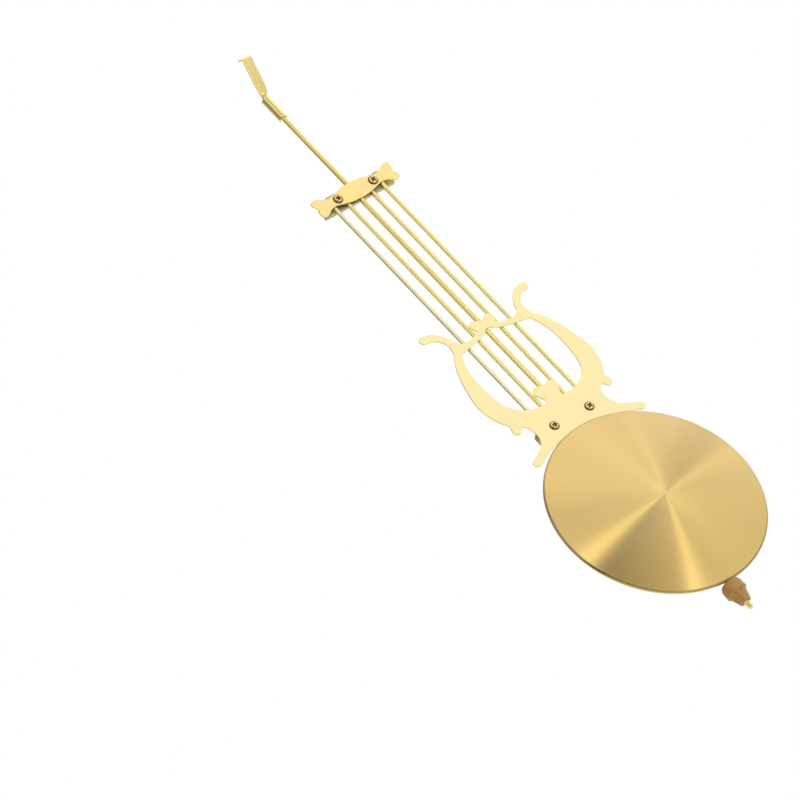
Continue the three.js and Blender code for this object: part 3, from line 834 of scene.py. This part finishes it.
def dress():
    """Puts a finished mesh in the place of every CAD node but the back disc, which keeps its own."""
    brass = drawn_brass("drawn_brass", drawn_tones)
    reflection_pale_brass = drawn_brass("reflection_pale_drawn_brass", reflection_pale_drawn_tones)
    yellow_brass = drawn_brass("yellow_drawn_brass", yellow_drawn_tones)
    lyre_brass = satin_plate("lyre_satin", lyre_tones)
    top_brass = satin_plate("top_satin", top_tones)
    steel = plated_steel()
    bronze = dark_bronze()
    add_piece("hanger_hook", hanger_mesh(), brass)
    add_piece("centre_rod", rod_mesh("centre_rod", centre_rod_sides, thread_length), brass)
    # The outer left rod gets a paler copy of the brass: a painted reflection.
    add_piece("outer_left_rod", rod_mesh("outer_left_rod", side_rod_sides), reflection_pale_brass)
    for side in ("inner_left", "inner_right", "outer_right"):
        add_piece(side + "_rod", rod_mesh(side + "_rod", side_rod_sides), yellow_brass)
    for clamp, look in (("top", top_brass), ("lyre", lyre_brass)):
        add_piece(clamp + "_plate", plate_mesh(clamp + "_plate"), look)
        add_piece(clamp + "_rear_bar", eased_mesh(clamp + "_rear_bar", bar_edge), steel)
        for side in ("left", "right"):
            screw = f"{clamp}_screw_{side}"
            low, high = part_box(screw)
            add_piece(screw, screw_mesh(screw), bronze, middle(low, high, low.y))
    add_piece("bob_front_shell", bob_mesh(), spun_brass())
    disc = frame["nodes"]["bob_back_disc"]
    disc.data.materials.clear()
    disc.data.materials.append(steel)
    for level in ("upper", "lower"):
        lug = "guide_lug_" + level
        add_piece(lug, eased_mesh(lug, lug_edge), steel)
        for side in ("left", "right"):
            rivet = f"lug_rivet_{level}_{side}"
            add_piece(rivet, rivet_mesh(rivet), brass)
    add_piece("rating_nut", nut_mesh(), moulded_plastic())


# Camera: a long lens that looks up at the front from its left, turned so that the pendulum lies aslant.
camera_azimuth = math.radians(-34.9965)
camera_elevation = math.radians(-22.0919)
camera_roll = math.radians(-43.5742)
camera_distance = 6.17322
camera_aim = Vector((-0.047153, rod_axis_y, -0.142163))
camera_lens = 800


def place_camera():
    """Sets the camera up and gives the way back to it from the pendulum."""
    back = Vector((
        math.sin(camera_azimuth) * math.cos(camera_elevation),
        -math.cos(camera_azimuth) * math.cos(camera_elevation),
        math.sin(camera_elevation),
    ))
    level = Vector((0, 0, 1)).cross(back).normalized()
    above = back.cross(level)
    right = level * math.cos(camera_roll) + above * math.sin(camera_roll)
    up = back.cross(right)
    data = bpy.data.cameras.new("camera")
    data.lens = camera_lens
    camera = in_scene("camera", data)
    turn = Matrix((right, up, back)).transposed()
    camera.matrix_world = Matrix.Translation(camera_aim + back * camera_distance) @ turn.to_4x4()
    bpy.context.scene.camera = camera
    return back


# Light: the camera sees a white room. The metal mirrors a softer one, which is bright on the right and
# above, and has a wide dark place in front, low and a little to the left.
# A way is given in degrees: to the right of the front, and upwards.
# A row is a way, then the cosines of two angles to it, the wider one first, then the light at the wider
# and at the narrower angle, between which it changes smoothly. The room's rows are multiplied together.
# The panels are soft glows that are added to it.
room_places = (
    ((84.0, 26.1), (0.10, 0.557), (0.063, 1.25)),
    ((0, 90), (-0.935, 0.647), (0.215, 1)),
    ((-14.5, -29.5), (0.69, 0.73), (1, 0.15)),
)
panels = (
    ((150, 10), (0.5, 0.95), (0, 0.65)),
    ((105, 22), (0.88, 0.97), (0, 0.9)),
    ((-41.5, 44.9), (0.732, 0.978), (0, 0.65)),
    ((-37, 22), (0.93, 0.985), (0, 0.65)),
    ((-6, 22), (0.955, 0.992), (0, 0.2)),
    ((-95, 22), (0.5, 0.95), (0, 0.24)),
    ((-155, -10), (0.6, 0.93), (0, 0.8)),
)
lamp_distance = 1.3
lamp_size = (0.13, 0.62)
lamps = {
    # way to the lamp from the bob, and its power
    "left_strip_lamp": ((-14.4, 14.1), 1.09),
    "low_strip_lamp": ((16.9, -19.0), 0.8),
    "high_strip_lamp": ((37.8, 30.0), 0.15),
    "right_strip_lamp": ((67.7, 35.3), 0.092),
}
floor_drop = 7.5
floor_side = 60
floor_colour = (0.95, 0.95, 0.94, 1)
floor_roughness = 0.7


def toward(way):
    """A way as a vector of length 1."""
    right, rise = (math.radians(angle) for angle in way)
    return Vector((math.sin(right) * math.cos(rise), -math.cos(right) * math.cos(rise), math.sin(rise)))


def light_room():
    """The world: white for the camera, the soft room for all that the metal mirrors."""
    world = bpy.data.worlds.new("room")
    bpy.context.scene.world = world
    world.use_nodes = True
    tree = world.node_tree
    nodes, join = tree.nodes, tree.links.new
    direction = nodes.new("ShaderNodeTexCoord").outputs["Generated"]

    def glow(centre, facing, light):
        """A value that changes smoothly with the angle to a direction."""
        dot = nodes.new("ShaderNodeVectorMath")
        dot.operation = "DOT_PRODUCT"
        join(direction, dot.inputs[0])
        dot.inputs[1].default_value = toward(centre)
        fall = nodes.new("ShaderNodeMapRange")
        fall.interpolation_type = "SMOOTHSTEP"
        join(dot.outputs["Value"], fall.inputs["Value"])
        for socket, value in zip(("From Min", "From Max", "To Min", "To Max"), (*facing, *light)):
            fall.inputs[socket].default_value = value
        return fall.outputs["Result"]

    def combine(operation, first, second):
        node = nodes.new("ShaderNodeMath")
        node.operation = operation
        join(first, node.inputs[0])
        join(second, node.inputs[1])
        return node.outputs[0]

    light = glow(*room_places[0])
    for place in room_places[1:]:
        light = combine("MULTIPLY", light, glow(*place))
    for panel in panels:
        light = combine("ADD", light, glow(*panel))
    seen = nodes["Background"]
    seen.inputs["Color"].default_value = (1, 1, 1, 1)
    mirrored = nodes.new("ShaderNodeBackground")
    join(light, mirrored.inputs["Strength"])
    mix = nodes.new("ShaderNodeMixShader")
    join(nodes.new("ShaderNodeLightPath").outputs["Is Camera Ray"], mix.inputs["Fac"])
    join(mirrored.outputs[0], mix.inputs[1])
    join(seen.outputs[0], mix.inputs[2])
    join(mix.outputs[0], nodes["World Output"].inputs["Surface"])


def hang_lamps(back):
    """Long soft lamps that face the bob and that the camera doesn't see.
    The long side of each points to where a face that looks to the front mirrors the camera."""
    mirror_way = Vector((-back.x, back.y, -back.z))
    for name, (way, power) in lamps.items():
        data = bpy.data.lights.new(name, "AREA")
        data.shape = "RECTANGLE"
        data.size, data.size_y = lamp_size
        data.energy = power
        lamp = in_scene(name, data)
        out = toward(way)
        side = mirror_way.cross(out).normalized()
        turn = Matrix((side, out.cross(side), out)).transposed()
        lamp.matrix_world = Matrix.Translation(bob_centre + out * lamp_distance) @ turn.to_4x4()
        lamp.visible_camera = False


def lay_floor():
    """A wide pale floor far below, which the metal mirrors."""
    half = floor_side / 2
    corners = [(x, y, -floor_drop) for x, y in ((-half, -half), (half, -half), (half, half), (-half, half))]
    mesh = mesh_from("floor", corners, [[0, 1, 2, 3]])
    floor = in_scene("floor", mesh)
    finish = Finish("pale_floor", Base_Color=floor_colour, Roughness=floor_roughness)
    mesh.materials.append(finish.material)


bpy.context.scene.view_settings.view_transform = "Standard"
dress()
hang_lamps(place_camera())
light_room()
lay_floor()
